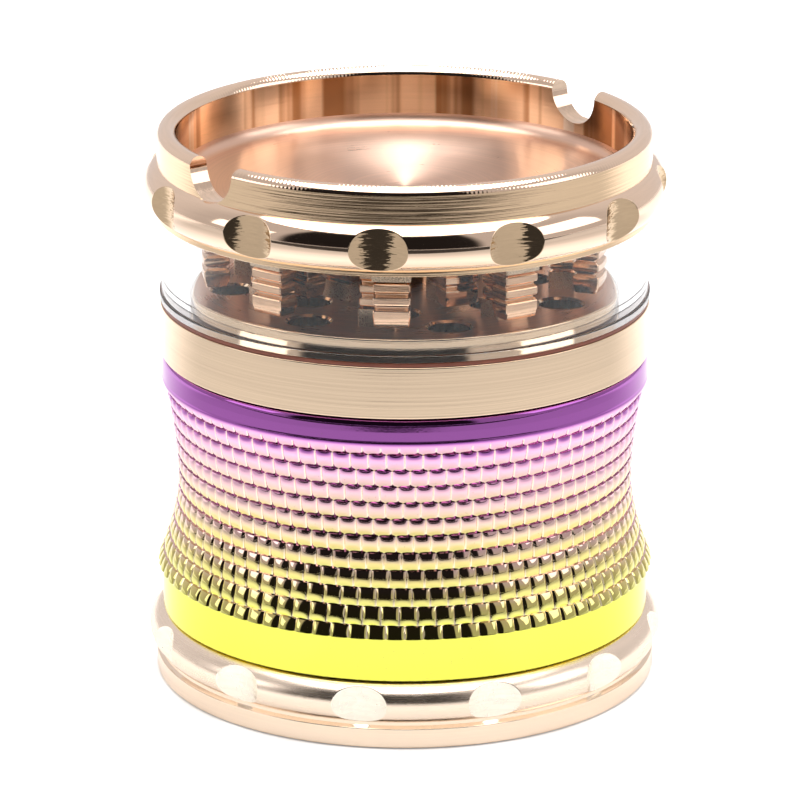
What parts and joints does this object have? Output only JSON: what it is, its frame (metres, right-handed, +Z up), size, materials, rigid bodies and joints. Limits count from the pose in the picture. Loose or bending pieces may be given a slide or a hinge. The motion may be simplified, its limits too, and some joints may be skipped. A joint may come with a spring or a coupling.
{
  "type": "four-section hand grinder",
  "caption": "Round metal hand grinder for herbs: dished lid, clear grinding window, waisted storage section and screw-on catcher cup.",
  "frame": {"origin": "centre of the foot's underside", "axes": "+Z up along the common turning axis; -Y is the front, the side the picture shows"},
  "size_m": [0.063, 0.063, 0.0683],
  "materials": {
    "rose_gold": "polished anodised",
    "champagne": "fine turned",
    "gradient_coat": "bright coat fading from violet through pink to yellow",
    "clear_acrylic": "clear",
    "screen_steel": "woven wire",
    "magnet_plating": "bright plating",
    "seal_rubber": "matt",
    "glide_nylon": "satin"
  },
  "bodies": {
    "base": {"catcher_cup": "rose_gold"},
    "catcher_seal": {"catcher_seal": "seal_rubber"},
    "storage": {"storage_body": "gradient_coat", "screen_mesh": "screen_steel", "screen_ring": "rose_gold"},
    "chamber_seal": {"chamber_seal": "seal_rubber"},
    "chamber": {"grinding_plate": "champagne", "window_gasket": "seal_rubber", "window_ring": "clear_acrylic", "plate_magnet": "magnet_plating", "floor_tooth_outer_01": "champagne", "floor_tooth_outer_02": "champagne", "floor_tooth_outer_03": "champagne", "floor_tooth_outer_04": "champagne", "floor_tooth_outer_05": "champagne", "floor_tooth_outer_06": "champagne", "floor_tooth_outer_07": "champagne", "floor_tooth_outer_08": "champagne", "floor_tooth_inner_01": "champagne", "floor_tooth_inner_02": "champagne", "floor_tooth_inner_03": "champagne", "floor_tooth_inner_04": "champagne", "floor_tooth_inner_05": "champagne"},
    "glide_ring": {"glide_ring": "glide_nylon"},
    "lid": {"lid": "rose_gold", "lid_magnet": "magnet_plating", "lid_tooth_outer_01": "rose_gold", "lid_tooth_outer_02": "rose_gold", "lid_tooth_outer_03": "rose_gold", "lid_tooth_outer_04": "rose_gold", "lid_tooth_outer_05": "rose_gold", "lid_tooth_outer_06": "rose_gold", "lid_tooth_outer_07": "rose_gold", "lid_tooth_outer_08": "rose_gold", "lid_tooth_outer_09": "rose_gold", "lid_tooth_outer_10": "rose_gold", "lid_tooth_inner_01": "rose_gold", "lid_tooth_inner_02": "rose_gold", "lid_tooth_inner_03": "rose_gold", "lid_tooth_inner_04": "rose_gold", "lid_tooth_inner_05": "rose_gold"}
  },
  "joints": [
    {"name": "storage_rise", "type": "slide", "parent": "base", "child": "catcher_seal", "axis": [0, 0, 1], "range_m": [0, 0.004]},
    {"name": "storage_unscrew", "type": "hinge", "parent": "catcher_seal", "child": "storage", "pos_m": [0, 0, 0.0084], "axis": [0, 0, 1], "range_deg": [0, 720]},
    {"name": "chamber_rise", "type": "slide", "parent": "storage", "child": "chamber_seal", "axis": [0, 0, 1], "range_m": [0, 0.004]},
    {"name": "chamber_unscrew", "type": "hinge", "parent": "chamber_seal", "child": "chamber", "pos_m": [0, 0, 0.0404], "axis": [0, 0, 1], "range_deg": [0, 720]},
    {"name": "lid_lift", "type": "slide", "parent": "chamber", "child": "glide_ring", "axis": [0, 0, 1], "range_m": [0, 0.03]},
    {"name": "lid_turn", "type": "hinge", "parent": "glide_ring", "child": "lid", "pos_m": [0, 0, 0.058], "axis": [0, 0, 1], "continuous": true}
  ],
  "couplings": [
    {"joint": "storage_rise", "follows": "storage_unscrew", "m_per_rad": 0.0003183},
    {"joint": "chamber_rise", "follows": "chamber_unscrew", "m_per_rad": 0.0003183}
  ]
}
